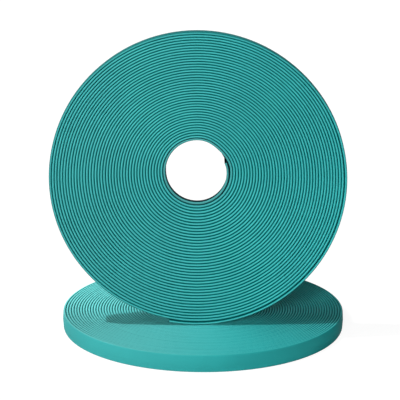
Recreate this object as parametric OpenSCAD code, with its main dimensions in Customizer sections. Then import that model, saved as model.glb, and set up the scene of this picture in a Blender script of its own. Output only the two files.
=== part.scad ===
// Two rolls of lay-flat soaker hose: one lies on its side, and one stands upright on it.
// Millimetres, +Z up. The origin is on the resting surface, midway between the two rolls' axes.
// A roll is wound on its own XY plane round its own Z axis. Its winding is one hose made of half-turn
// arcs that meet at the top and at the bottom of the hole's centre line, where they share a tangent.

/* [Hose] */
// Width of the hose when it lies flat
hose_w = 20; // [14:0.5:30]
// Thickness of the flattened hose, its two walls together
hose_t = 4.5; // [3:0.1:6]
// Height of the fold that stands along each edge of the hose
fold_h = 1.5; // [0.8:0.1:3]
// Thickness of that fold
fold_t = 2.6; // [1:0.1:2.8]
// Width of the water slit between the two walls at a cut end
slit_w = 12; // [6:0.5:13]
// Opening of that slit
slit_t = 0.6; // [0.3:0.1:1.2]
// Depth to which the slit stays open at a cut end
slit_depth = 8; // [2:1:15]

/* [Winding] */
// Full turns between the inner end's first half turn and the outer end
turns = 23; // [6:1:23]
// Width of the hole that the first turn goes round
hole_d = 66; // [50:1:120]
// Gap between two turns on the tight side of the roll
tight_gap = 0.53; // [0.5:0.01:1.5]
// Gap between two turns on the slack side of the roll
slack_gap = 1.43; // [0.5:0.01:3]
// Angle above the hole's centre at which the inner end is cut
inner_end_angle = 18; // [0:1:60]
// Distance by which the inner end springs in from the first turn
inner_spring = 1.6; // [0:0.1:4]
// Angle past the lowest point at which the outer end is cut
outer_end_angle = 11; // [4:1:60]
// Distance by which the outer end stands off at the lowest point
outer_slack = 0.8; // [0:0.1:4]

/* [Stack] */
// Distance of the standing roll's middle plane in front of the lying roll's axis
stand_forward = 60; // [0:1:90]
// Sideways distance between the two rolls' axes
stand_shift = 5; // [0:1:30]
// Angle by which the lying roll is turned about its axis
lying_turn = 196; // [0:1:359]
// Clearance between the lying roll and the standing one
seat_gap = 0.3; // [0.2:0.05:1]
// Depth to which the lying roll's lower edge is pressed flat
foot_flat = 0.5; // [0.2:0.1:0.7]

/* [Hidden] */
// Rings on one full turn
rings = 24;
tight_pitch = hose_t + tight_gap;
slack_pitch = hose_t + slack_gap;
first_r = (hole_d + hose_t) / 2;
last_arc = 2 * turns + 1;
flat_h = hose_w - 2 * fold_h;
// Radius of the largest thing that a roll's outline fits in, and its offset from the hole's centre
rim_top = crossing(last_arc - 1) + hose_t / 2;
rim_bottom = crossing(last_arc) + hose_t / 2;
rim_right = arc_r(last_arc - 1) + hose_t / 2;
rim_left = arc_r(last_arc - 2) + hose_t / 2;
rim_centre = [(rim_right - rim_left) / 2, (rim_top - rim_bottom) / 2, 0];
lying_centre = [stand_shift / 2, 0, hose_w / 2 - foot_flat];
standing_centre = [-stand_shift / 2 - rim_centre.x, -stand_forward, hose_w - foot_flat + seat_gap + rim_bottom];

// Distance from the hole's centre at which the winding crosses the vertical line: even at the top, odd below
function crossing(i) = first_r
    + (i % 2 == 0 ? i / 2 * tight_pitch : (i - 1) / 2 * slack_pitch)
    - (i == 0 ? inner_spring : 0)
    + (i >= last_arc ? outer_slack : 0);
// Arc i runs clockwise from crossing i to the next one: even arcs on the right, odd arcs on the left
function arc_r(i) = (crossing(i) + crossing(i + 1)) / 2;
function arc_y(i) = (crossing(i) - crossing(i + 1)) / 2 * (i % 2 == 0 ? 1 : -1);
// Angles at which arc i starts and stops, counted the mathematical way round
function arc_low(i) = i == last_arc ? 270 - outer_end_angle : i % 2 == 0 ? -90 : 90;
function arc_high(i) = i == 0 ? inner_end_angle : i % 2 == 0 ? 90 : 270;
function arc_point(i, a) = [arc_r(i) * cos(a), arc_y(i) + arc_r(i) * sin(a)];

// Gap between a point on arc i and the arc one turn further out
function gap_at(i, a) = arc_r(i + 2) - norm(arc_point(i, a) - [0, arc_y(i + 2)]) - hose_t;
function gaps(i) = [
    for (a = [max(arc_low(i), arc_low(i + 2)) : 180 / rings : arc_high(i)]) gap_at(i, a)
];
least_gap = min([for (i = [0 : last_arc - 2]) each gaps(i)]);
hose_length = [for (i = [0 : last_arc]) arc_r(i) * (arc_high(i) - arc_low(i)) * PI / 180];
function total(v, i = 0) = i == len(v) ? 0 : v[i] + total(v, i + 1);

echo(least_gap_mm = least_gap);
echo(wound_length_m = total(hose_length) / 1000);
echo(roll_width_mm = rim_right + rim_left, roll_height_mm = rim_top + rim_bottom);
echo(standing_axis_mm = standing_centre);

// Section of the flattened hose, thickness along X: two flat walls, and the narrower fold along each edge.
// The lower fold is pressed flat by the depth given.
module hose_section(pressed = 0) {
    square([hose_t, flat_h], center = true);
    translate([-fold_t / 2, pressed - hose_w / 2]) square([fold_t, hose_w - pressed]);
}

// The stretch of the winding that lies on arc i, between two angles, with any section
module on_arc(i, low, high) {
    translate([0, arc_y(i), 0])
        rotate_extrude(angle = high - low, start = low, $fn = rings)
            translate([arc_r(i), 0]) children();
}

// The slit at the inner end, and the one at the outer end
module slits() {
    inner_sweep = slit_depth / arc_r(0) * 180 / PI;
    outer_sweep = slit_depth / arc_r(last_arc) * 180 / PI;
    overrun = 1;
    on_arc(0, inner_end_angle - inner_sweep, inner_end_angle + overrun)
        square([slit_t, slit_w], center = true);
    on_arc(last_arc, arc_low(last_arc) - overrun, arc_low(last_arc) + outer_sweep)
        square([slit_t, slit_w], center = true);
}

// One hose wound into a roll, round the hole's centre
module roll(pressed = 0) {
    difference() {
        union()
            for (i = [0 : last_arc])
                on_arc(i, arc_low(i), arc_high(i)) hose_section(pressed);
        slits();
    }
}

module lying_roll() {
    color([0.16, 0.60, 0.59])
        translate(lying_centre) rotate([0, 0, lying_turn]) translate(-rim_centre) roll(foot_flat);
}

module standing_roll() {
    color([0.22, 0.66, 0.65])
        translate(standing_centre) rotate([90, 0, 0]) roll();
}

lying_roll();
standing_roll();
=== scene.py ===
import math

import bmesh
import bpy
from mathutils import Matrix, Vector, noise


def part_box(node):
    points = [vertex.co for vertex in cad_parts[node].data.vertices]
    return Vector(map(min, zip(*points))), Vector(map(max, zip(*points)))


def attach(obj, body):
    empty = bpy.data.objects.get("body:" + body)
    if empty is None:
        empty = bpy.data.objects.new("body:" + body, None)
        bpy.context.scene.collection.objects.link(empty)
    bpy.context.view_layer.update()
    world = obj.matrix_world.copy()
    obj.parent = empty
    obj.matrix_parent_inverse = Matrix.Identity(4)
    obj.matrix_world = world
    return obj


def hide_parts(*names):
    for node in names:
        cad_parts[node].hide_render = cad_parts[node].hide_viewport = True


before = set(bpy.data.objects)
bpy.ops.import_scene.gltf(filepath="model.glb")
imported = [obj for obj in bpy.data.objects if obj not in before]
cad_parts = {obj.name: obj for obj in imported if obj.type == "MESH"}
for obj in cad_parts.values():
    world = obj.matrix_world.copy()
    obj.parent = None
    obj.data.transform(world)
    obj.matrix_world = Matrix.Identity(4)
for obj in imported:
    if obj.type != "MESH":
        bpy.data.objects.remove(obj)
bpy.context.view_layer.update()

# Camera. It stands 1.44 m in front of the lying roll's axis, a little above the pair, and looks down
# at both. The long lens keeps the two rolls close to their true proportions.
camera_pitch = 13.855
camera_turn = 0.11
camera_data = bpy.data.cameras.new("camera")
camera_data.sensor_width = 36
camera_data.lens = 115.98
camera = bpy.data.objects.new("camera", camera_data)
camera.location = (0.00224, -1.43918, 0.50186)
camera.rotation_euler = (math.radians(90 - camera_pitch), 0, math.radians(camera_turn))
bpy.context.scene.collection.objects.link(camera)
bpy.context.scene.camera = camera

# Hose. One extruded tube of soft vinyl, pressed flat at the works, so that its section is two walls with
# a round fold along each edge. It is 20 mm wide and 2.75 mm thick, and is cut with shears.
hose_width = 0.0200
hose_thickness = 0.00275
fold_height = 0.0021
fold_points = 10
section_points = 2 * fold_points + 2
hose_cup = 0.0005


def hose_section():
    """A ring of the hose's section, thickness along X, width along Z, with slightly cupped walls."""
    section = bmesh.new()
    section.verts.layers.float.new("along")
    across = section.verts.layers.float.new("across")
    through = section.verts.layers.float.new("through")
    half_step = math.pi / (2 * fold_points)
    widest = math.cos(half_step)
    bmesh.ops.create_circle(section, cap_ends=False, radius=1, segments=2 * fold_points)
    bmesh.ops.rotate(section, verts=section.verts, matrix=Matrix.Rotation(half_step, 3, "Z"))
    fold_size = (hose_thickness / 2 / widest, fold_height / widest, 1)
    bmesh.ops.scale(section, verts=section.verts, vec=fold_size)
    for side in (1, -1):
        fold = [point for point in section.verts if point.co.y * side > 0]
        bmesh.ops.translate(section, verts=fold, vec=(0, side * (hose_width / 2 - fold_height), 0))
    walls = [edge for edge in section.edges if edge.calc_length() > hose_width / 2]
    halved = bmesh.ops.subdivide_edges(section, edges=walls, cuts=1)["geom_inner"]
    middles = [item for item in halved if isinstance(item, bmesh.types.BMVert)]
    bmesh.ops.translate(section, verts=middles, vec=(hose_cup, 0, 0))
    bmesh.ops.rotate(section, verts=section.verts, matrix=Matrix.Rotation(math.pi / 2, 3, "X"))
    for point in section.verts:
        point[across] = point.co.z
        point[through] = point.co.x
    return section


# Winding. The hose is wound edge-on, outward and clockwise, round a 66 mm hole. Every half turn is an
# arc that meets the next in the upright line through the hole. The turns lie tight above the hole and
# slack below it, where gravity pulls them apart, so the hole sits above the middle of the roll.
turns = 41
hole_width = 0.066
tight_gap = 0.000114
slack_gap = 0.000619
inner_end_angle = 18
inner_spring = 0.0018
outer_end_angle = 11
outer_slack = 0.0008
last_arc = 2 * turns + 1
first_radius = (hole_width + hose_thickness) / 2
chord_sag = 0.000045
inner_lift = 0.0002


def crossing(i):
    """Distance from the hole's centre to the hose where it crosses the upright line. Even crossings are
    above the hole, and odd ones below."""
    gap = slack_gap if i % 2 else tight_gap
    distance = first_radius + i // 2 * (hose_thickness + gap)
    if i == 0:
        distance -= inner_spring
    if i == 1:
        distance -= inner_lift
    if i >= last_arc:
        distance += outer_slack
    return distance


def half_turn(i):
    """Radius of one half turn, and the height of its centre above the hole's centre."""
    side = -1 if i % 2 else 1
    return (crossing(i) + crossing(i + 1)) / 2, side * (crossing(i) - crossing(i + 1)) / 2


def half_turn_angles(i):
    """Angles between which a half turn runs clockwise: even ones on the right, odd ones on the left."""
    start, stop = (270, 90) if i % 2 else (90, -90)
    if i == 0:
        start = inner_end_angle
    if i == last_arc:
        stop = 270 - outer_end_angle
    return math.radians(start), math.radians(stop)


def half_turn_length(i):
    """Length of hose in one half turn."""
    start, stop = half_turn_angles(i)
    return half_turn(i)[0] * (start - stop)


hose_length = sum(half_turn_length(i) for i in range(last_arc + 1))
rim_top = crossing(last_arc - 1) + hose_thickness / 2
rim_bottom = crossing(last_arc) + hose_thickness / 2
rim_right = half_turn(last_arc - 1)[0] + hose_thickness / 2
rim_left = half_turn(last_arc - 2)[0] + hose_thickness / 2
rim_middle = Vector(((rim_right - rim_left) / 2, (rim_top - rim_bottom) / 2, 0))


def wound_hose():
    """The whole hose on its roll, round the hole's centre. Every point keeps how far "along" it is."""
    whole = bmesh.new()
    stretch = bpy.data.meshes.new("stretch")
    wound = 0.0
    for i in range(last_arc + 1):
        radius, height = half_turn(i)
        start, stop = half_turn_angles(i)
        steps = math.ceil((start - stop) / (2 * math.acos(1 - chord_sag / radius)))
        part = hose_section()
        turned = Matrix.Rotation(start, 4, "Z") @ Matrix.Translation((radius, 0, 0))
        bmesh.ops.transform(part, verts=part.verts, matrix=Matrix.Translation((0, height, 0)) @ turned)
        bmesh.ops.spin(
            part, geom=part.verts[:] + part.edges[:], cent=(0, height, 0), axis=(0, 0, -1),
            angle=start - stop, steps=steps, use_merge=False, use_duplicate=False,
        )
        along = part.verts.layers.float["along"]
        for number, point in enumerate(part.verts):
            point[along] = wound + half_turn_length(i) * (number // section_points) / steps
        wound += half_turn_length(i)
        part.to_mesh(stretch)
        whole.from_mesh(stretch)
        part.free()
    bpy.data.meshes.remove(stretch)
    bmesh.ops.remove_doubles(whole, verts=whole.verts, dist=chord_sag / 4)
    return whole


# Cut ends. Each end is cut across with shears and left bare, so it shows the flattened bore as a narrow
# mouth between the two walls.
mouth_width = 0.0166
mouth_gap = 0.0014
mouth_depth = 0.0060
end_wall = 0.0004


def open_ends(whole):
    """Closes both ends of the winding with a cut face that has a mouth in it."""
    along = whole.verts.layers.float["along"]
    rims = [edge for edge in whole.edges if edge.is_boundary]
    cut_faces = bmesh.ops.holes_fill(whole, edges=rims, sides=section_points)["faces"]
    bmesh.ops.recalc_face_normals(whole, faces=whole.faces)
    for cut_face in cut_faces:
        end = cut_face.verts[0][along]
        for edge in cut_face.edges:
            edge.smooth = False
        bmesh.ops.inset_individual(whole, faces=[cut_face], thickness=end_wall)
        outward = cut_face.normal.copy()
        turned = outward.to_track_quat("X", "Z").to_matrix().to_4x4()
        turned.translation = cut_face.calc_center_median()
        thickness = hose_thickness - 2 * end_wall
        width = hose_width - 2 * end_wall
        narrow = Vector((1, mouth_gap / thickness, mouth_width / width))
        bmesh.ops.scale(whole, verts=cut_face.verts, vec=narrow, space=turned.inverted())
        mouth = bmesh.ops.extrude_discrete_faces(whole, faces=[cut_face])["faces"][0]
        bmesh.ops.translate(whole, verts=mouth.verts, vec=-outward * mouth_depth)
        for edge in mouth.edges:
            edge.smooth = False
        for point in mouth.verts:
            point[along] = abs(end - mouth_depth)


# Settling. Nothing ties a roll, so its turns give way a little. The inner end, cut aslant, springs in
# and twists. The inner turns lean back below the hole and are pressed round it above the inner end,
# the slack turns swell, and every turn lies a hair out of line.
slant_angle = 22
slant_reach = 0.030
inner_tilt = 0.0028
tilt_reach = 0.050
end_bulge = 0.0009
slack_swell = 0.8
hug_depth = 0.0018
hug_angle = 45
hug_width = 40
hug_reach = 0.040
turn_rise = 0.00015
rise_waves = 3.1
turn_shift = 0.00002
shift_waves = 4.3


def settle(whole, seed, drawn):
    """Lets the roll settle. The last turn is drawn in by the share of its slack that is given."""
    along = whole.verts.layers.float["along"]
    through = whole.verts.layers.float["through"]
    slack_start = hose_length - half_turn_length(last_arc) - half_turn_length(last_arc - 1)
    for point in whole.verts:
        length = point[along]
        outward = Vector((point.co.x, point.co.y, 0)).normalized()
        rearward = 0.5 - point.co.z / hose_width
        beyond = point.co.xy.length - first_radius
        looseness = max(0, 1 - length / (math.pi * first_radius))
        twist = inner_spring * (1 + outward.y) / 2 * looseness
        tilt = inner_tilt * max(0, -outward.y) * max(0, 1 - beyond / tilt_reach)
        bulge = end_bulge * looseness * (1 - abs(point.co.z) / (hose_width / 2))
        slackness = (slack_gap - tight_gap) * (1 - outward.y) / 2
        swell = slack_swell * slackness * point[through] / hose_thickness
        shift = noise.noise((length * shift_waves, seed, 7.0)) * turn_shift
        slackened = min(1, max(0, (length - slack_start) / half_turn_length(last_arc - 1)))
        shift -= drawn * outer_slack * (1 - math.cos(math.pi * slackened)) / 2
        angle = math.degrees(math.atan2(outward.y, outward.x))
        aside = min(1, abs(angle - hug_angle) / hug_width)
        inward = hug_depth * (1 + math.cos(math.pi * aside)) / 2
        hug = inward * math.exp(-beyond / hug_reach)
        point.co += outward * (rearward * (twist + tilt) + bulge + swell + shift - hug)
        point.co.z += noise.noise((length * rise_waves, seed, 0.0)) * turn_rise
        if length < slant_reach:
            slant = math.radians(slant_angle) * rearward * (1 - length / slant_reach)
            point.co = Matrix.Rotation(slant, 3, "Z") @ point.co


def make_roll(name, seed, drawn, place, ground):
    """A finished roll as one object at the origin, pressed flat where it stands on its ground."""
    whole = wound_hose()
    open_ends(whole)
    settle(whole, seed, drawn)
    bmesh.ops.transform(whole, verts=whole.verts, matrix=place)
    for point in whole.verts:
        point.co.z = max(point.co.z, ground)
    along = whole.verts.layers.float["along"]
    across = whole.verts.layers.float["across"]
    hose_map = whole.loops.layers.uv.new("hose")
    for face in whole.faces:
        face.smooth = True
        for corner in face.loops:
            corner[hose_map].uv = (corner.vert[along], corner.vert[across])
    bmesh.ops.recalc_face_normals(whole, faces=whole.faces)
    mesh = bpy.data.meshes.new(name)
    whole.to_mesh(mesh)
    whole.free()
    roll = bpy.data.objects.new(name, mesh)
    bpy.context.scene.collection.objects.link(roll)
    return roll


# Vinyl. The hose is teal all through and matt, with a fine grain, faint lines drawn by the die and soft
# clouds of colour, and handling has rubbed the first turns grey. Light is painted on as well: the folds
# are pale as a painted highlight, the walls between turns and the lining of the hole are dark as painted
# shade, the left side is paler as a painted sheen, and the standing roll's outermost wall is dark as
# painted shade.
class Wire:
    """An output of a material's nodes. Python's operators on it add Math nodes."""

    def __init__(self, tree, socket=None):
        self.tree = tree
        self.socket = socket

    def node(self, kind, settings, sockets, output=0):
        """Adds a node, sets it, and plugs values or wires into its sockets."""
        made = self.tree.nodes.new(kind)
        for name, value in settings.items():
            setattr(made, name, value)
        for name, value in sockets.items():
            if isinstance(value, Wire):
                self.tree.links.new(value.socket, made.inputs[name])
            else:
                made.inputs[name].default_value = value
        return Wire(self.tree, made.outputs[output]) if made.outputs else None

    def math(self, operation, first, second):
        return self.node("ShaderNodeMath", {"operation": operation}, {0: first, 1: second})

    def __add__(self, other):
        return self.math("ADD", self, other)

    def __sub__(self, other):
        return self.math("SUBTRACT", self, other)

    def __rsub__(self, other):
        return self.math("SUBTRACT", other, self)

    def __mul__(self, other):
        return self.math("MULTIPLY", self, other)

    def __abs__(self):
        return self.math("ABSOLUTE", self, 0.0)

    __radd__ = __add__
    __rmul__ = __mul__

    def between(self, low, high):
        """0 below low, 1 above high, and a smooth step from one to the other."""
        settings = {"interpolation_type": "SMOOTHSTEP"}
        return self.node("ShaderNodeMapRange", settings, {0: self, 1: low, 2: high})

    def mix(self, first, second):
        """The first colour where this is 0, and the second where it is 1."""
        return self.node("ShaderNodeMix", {"data_type": "RGBA"}, {0: self, 6: first, 7: second}, 2)


def srgb(red, green, blue):
    """A colour given in the usual 0 to 255 steps, as a shader takes it."""
    steps = [value / 255 for value in (red, green, blue)]
    return [v / 12.92 if v <= 0.04045 else ((v + 0.055) / 1.055) ** 2.4 for v in steps] + [1]


deep_teal = srgb(10, 141, 142)
light_teal = srgb(28, 166, 166)
fold_highlight_teal = srgb(70, 184, 183)
wall_shade_teal = srgb(0, 105, 104)
left_sheen_teal = srgb(158, 200, 194)
rubbed_teal = srgb(82, 150, 149)
lining_shade_teal = srgb(22, 64, 68)
outer_turn_length = 1.02


def vinyl(name, sheen_amount, outer_colour):
    """The hose's material, from how much painted sheen lightens its left side, and the colour of its
    outermost wall.
    """
    material = bpy.data.materials.new(name)
    material.use_nodes = True
    tree = material.node_tree
    tree.nodes.clear()
    start = Wire(tree)
    place = start.node("ShaderNodeTexCoord", {}, {}, "Object")
    hose_map = start.node("ShaderNodeUVMap", {"uv_map": "hose"}, {})
    along = start.node("ShaderNodeSeparateXYZ", {}, {0: hose_map}, "X")
    across = start.node("ShaderNodeSeparateXYZ", {}, {0: hose_map}, "Y")
    grain = start.node("ShaderNodeTexNoise", {}, {"Vector": place, "Scale": 1900.0, "Detail": 3.0})
    clouds = start.node("ShaderNodeTexNoise", {}, {"Vector": place, "Scale": 22.0, "Detail": 2.0})
    line_place = start.node("ShaderNodeCombineXYZ", {}, {0: along * 5.0, 1: across * 2200.0})
    lines = start.node("ShaderNodeTexNoise", {}, {"Vector": line_place, "Scale": 1.0, "Detail": 2.0})
    one_way = {"noise_dimensions": "1D"}
    batch = start.node("ShaderNodeTexNoise", one_way, {"W": along * 2.7, "Detail": 1.0})
    tone = clouds * 0.45 + batch * 0.25 + grain * 0.20 + lines * 0.15
    colour = tone.between(0.30, 0.80).mix(deep_teal, light_teal)
    depth = hose_width / 2 - abs(across)
    # Painted highlight: the crests of the folds are paler.
    colour = depth.between(0.00003, 0.00050).mix(fold_highlight_teal, colour)
    wall = depth.between(0.0002, 0.0013)
    outer_start = hose_length - outer_turn_length
    outer_turn = along.between(outer_start - 0.01, outer_start + 0.01)
    rightward = start.node("ShaderNodeSeparateXYZ", {}, {0: place}, "X")
    through = start.node("ShaderNodeAttribute", {"attribute_name": "through"}, {}, "Fac")
    outside = outer_turn * through.between(-0.0001, 0.0009)
    # Painted shade: the walls between turns are darker than the folds, all but the outside of the last
    # turn.
    colour = (wall * (1 - outside) * 0.8).mix(colour, wall_shade_teal)
    # The outside of the last turn takes a colour of its own, save at the right end. On the standing roll
    # it is a dark painted shade along the outline.
    colour = (outside * (1 - rightward.between(0.12, 0.16)) * 0.7).mix(colour, outer_colour)
    # Painted sheen: the left side of each roll is paler, as if more light fell there.
    left_sheen = (1 - rightward.between(-0.15, 0.08)) * (1 - wall * 0.7) * sheen_amount
    colour = left_sheen.mix(colour, left_sheen_teal)
    rubbed = (1 - along.between(0.12, 0.35)) * (0.35 + grain * 0.5)
    colour = rubbed.mix(colour, rubbed_teal)
    # Painted shade: the lining of the first turns, inside the hole, is dark.
    lining_shade = wall * (1 - along.between(0.20, 0.26))
    colour = lining_shade.mix(colour, lining_shade_teal)
    relief = grain * 0.5 + lines * 0.5
    bump = start.node("ShaderNodeBump", {}, {"Strength": 0.35, "Distance": 0.00008, "Height": relief})
    shader = start.node("ShaderNodeBsdfPrincipled", {}, {
        "Base Color": colour,
        "Roughness": 0.50 + grain * 0.12 + clouds * 0.06 + lining_shade * 0.4,
        "Specular IOR Level": 0.03,
        "Normal": bump,
    })
    start.node("ShaderNodeOutputMaterial", {}, {"Surface": shader})
    return material


# Lying roll. It lies flat on the floor, pressed half a millimetre flat by its own weight and the other
# roll's, with its outer end at the back and its last turn pulled nearly tight.
lying_turn = 196
roll_shift = 0.0050
lying_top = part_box("lying_roll")[1].z
lying_axis = Vector((roll_shift / 2, 0, lying_top - hose_width / 2))
lying_spin = Matrix.Rotation(math.radians(lying_turn), 4, "Z") @ Matrix.Translation(-rim_middle)
lying_place = Matrix.Translation(lying_axis) @ lying_spin
lying_hose = make_roll("lying_hose", seed=1.5, drawn=0.8, place=lying_place, ground=0)
lying_hose.data.materials.append(vinyl("left_sheen_vinyl", sheen_amount=0.22, outer_colour=srgb(50, 163, 162)))
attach(lying_hose, "lying_roll")
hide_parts("lying_roll")

# Standing roll. It stands upright on the lying roll, its winding to the front and its outer end low on
# the left, and nothing but its weight holds it there.
standing_low, standing_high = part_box("standing_roll")
upright = Matrix.Rotation(math.radians(90), 4, "X")
standing_middle = Matrix.Translation((standing_low + standing_high) / 2)
standing_place = standing_middle @ upright @ Matrix.Translation(-rim_middle)
standing_ground = lying_top + turn_rise
standing_hose = make_roll(
    "standing_hose", seed=9.5, drawn=0, place=standing_place, ground=standing_ground,
)
# Its outside wall is painted dark, as painted shade along its outline.
standing_hose.data.materials.append(vinyl("teal_vinyl", sheen_amount=0.04, outer_colour=srgb(0, 82, 80)))
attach(standing_hose, "standing_roll")
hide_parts("standing_roll")

# Studio. A wide floor of matt pale grey under a sky that is brighter to the rear. Both are plain white
# to the eye, and the floor still takes a soft shadow from the rolls.
floor_size = 16
floor_grey = srgb(200, 200, 200)
floor_glow = 0.93
floor_shade = 0.15
fill_light = 0.03
rear_light = 0.50


def looked_at(start):
    """1 for a ray from the camera, straight, mirrored or through glass, and 0 for any other."""
    seen = start.node("ShaderNodeLightPath", {}, {}, "Is Camera Ray")
    mirrored = start.node("ShaderNodeLightPath", {}, {}, "Is Glossy Ray")
    refracted = start.node("ShaderNodeLightPath", {}, {}, "Is Transmission Ray")
    return seen + mirrored + refracted


floor_mesh = bmesh.new()
bmesh.ops.create_grid(floor_mesh, x_segments=1, y_segments=1, size=floor_size / 2)
floor_data = bpy.data.meshes.new("floor")
floor_mesh.to_mesh(floor_data)
floor_mesh.free()
floor = bpy.data.objects.new("floor", floor_data)
bpy.context.scene.collection.objects.link(floor)

floor_paint = bpy.data.materials.new("floor_paint")
floor_paint.use_nodes = True
floor_paint.node_tree.nodes.clear()
paint = Wire(floor_paint.node_tree)
matt = paint.node("ShaderNodeBsdfDiffuse", {}, {"Color": floor_grey})
shaded = paint.node("ShaderNodeBsdfDiffuse", {}, {"Color": (floor_shade, floor_shade, floor_shade, 1)})
glow = paint.node("ShaderNodeEmission", {}, {"Color": (1, 1, 1, 1), "Strength": floor_glow})
white = paint.node("ShaderNodeAddShader", {}, {0: shaded, 1: glow})
surface = paint.node("ShaderNodeMixShader", {}, {0: looked_at(paint), 1: matt, 2: white})
paint.node("ShaderNodeOutputMaterial", {}, {"Surface": surface})
floor_data.materials.append(floor_paint)

world = bpy.data.worlds.new("sky")
bpy.context.scene.world = world
world.use_nodes = True
world.node_tree.nodes.clear()
sky = Wire(world.node_tree)
direction = sky.node("ShaderNodeTexCoord", {}, {}, "Generated")
rearward = sky.node("ShaderNodeSeparateXYZ", {}, {0: direction}, "Y")
plain_white = looked_at(sky)
strength = plain_white + (1 - plain_white) * (fill_light + rearward.between(0.3, 1.0) * rear_light)
backdrop = sky.node("ShaderNodeBackground", {}, {"Color": (1, 1, 1, 1), "Strength": strength})
sky.node("ShaderNodeOutputWorld", {}, {"Surface": backdrop})

# Lamps. A hard lamp high on the left throws the standing roll's shadow on the lying one. A soft one in
# front on the left lights the winding and the band of the lying roll, and a weak soft one, further to
# the left, fills in.


def lamp(name, direction, strength, spread):
    """A far lamp. Its spread is how wide it looks, in degrees, and so how soft its shadow is."""
    data = bpy.data.lights.new(name, "SUN")
    data.energy = strength
    data.angle = math.radians(spread)
    made = bpy.data.objects.new(name, data)
    made.rotation_euler = Vector(direction).to_track_quat("-Z", "Y").to_euler()
    bpy.context.scene.collection.objects.link(made)


high_direction = Vector((0.44, 0.13, -1))
lamp("high_lamp", high_direction, 2.02, 0.8)
lamp("front_lamp", (0.32, 0.90, -0.28), 2.05, 15)
lamp("left_lamp", (0.64, 0.30, -0.71), 0.36, 12)

# Back lamp. A spot with soft edges, high behind the rolls on the left. It lights only the back left of
# the lying roll.
back_data = bpy.data.lights.new("back_lamp", "SPOT")
back_data.energy = 72
back_data.spot_size = math.radians(9)
back_data.spot_blend = 1
back_data.shadow_soft_size = 0.03
back_lamp = bpy.data.objects.new("back_lamp", back_data)
back_lamp.location = (-0.55, 0.55, 0.90)
back_aim = Vector((-0.135, 0.055, 0.02)) - back_lamp.location
back_lamp.rotation_euler = back_aim.to_track_quat("-Z", "Y").to_euler()
bpy.context.scene.collection.objects.link(back_lamp)

# Flag. A black net above keeps the high lamp off the back right of the lying roll, behind the standing
# one. It is part of a disc that the lamp sees as large as the roll, so that it throws no shadow on the
# floor, and its weave thins out to nothing on the left.
flag_height = 0.50
flag_radius = 0.170
flag_front = -0.012
flag_fade = 0.06
flag_mesh = bmesh.new()
bmesh.ops.create_circle(flag_mesh, cap_ends=True, radius=flag_radius, segments=96)
flag_cuts = {(-flag_fade, 0, 0): (1, 0, 0), (0, flag_front, 0): (0, 1, 0)}
for cut_place, cut_inward in flag_cuts.items():
    bmesh.ops.bisect_plane(
        flag_mesh, geom=flag_mesh.verts[:] + flag_mesh.edges[:] + flag_mesh.faces[:],
        plane_co=cut_place, plane_no=cut_inward, clear_inner=True,
    )
flag_place = Vector((roll_shift / 2, 0, lying_top)) - high_direction * flag_height
bmesh.ops.translate(flag_mesh, verts=flag_mesh.verts, vec=flag_place)
flag_data = bpy.data.meshes.new("flag")
flag_mesh.to_mesh(flag_data)
flag_mesh.free()
flag = bpy.data.objects.new("flag", flag_data)
flag.visible_camera = False
flag.visible_glossy = False
flag.visible_diffuse = False
flag.visible_transmission = False
bpy.context.scene.collection.objects.link(flag)

flag_net = bpy.data.materials.new("flag_net")
flag_net.use_nodes = True
flag_net.node_tree.nodes.clear()
net = Wire(flag_net.node_tree)
net_place = net.node("ShaderNodeTexCoord", {}, {}, "Object")
sideways = net.node("ShaderNodeSeparateXYZ", {}, {0: net_place}, "X")
clear = net.node("ShaderNodeBsdfTransparent", {}, {"Color": (1, 1, 1, 1)})
thread = net.node("ShaderNodeBsdfDiffuse", {}, {"Color": (0, 0, 0, 1)})
weave = sideways.between(flag_place.x - flag_fade, flag_place.x + flag_fade)
cover = net.node("ShaderNodeMixShader", {}, {0: weave, 1: clear, 2: thread})
net.node("ShaderNodeOutputMaterial", {}, {"Surface": cover})
flag_data.materials.append(flag_net)

bpy.context.scene.view_settings.view_transform = "Standard"
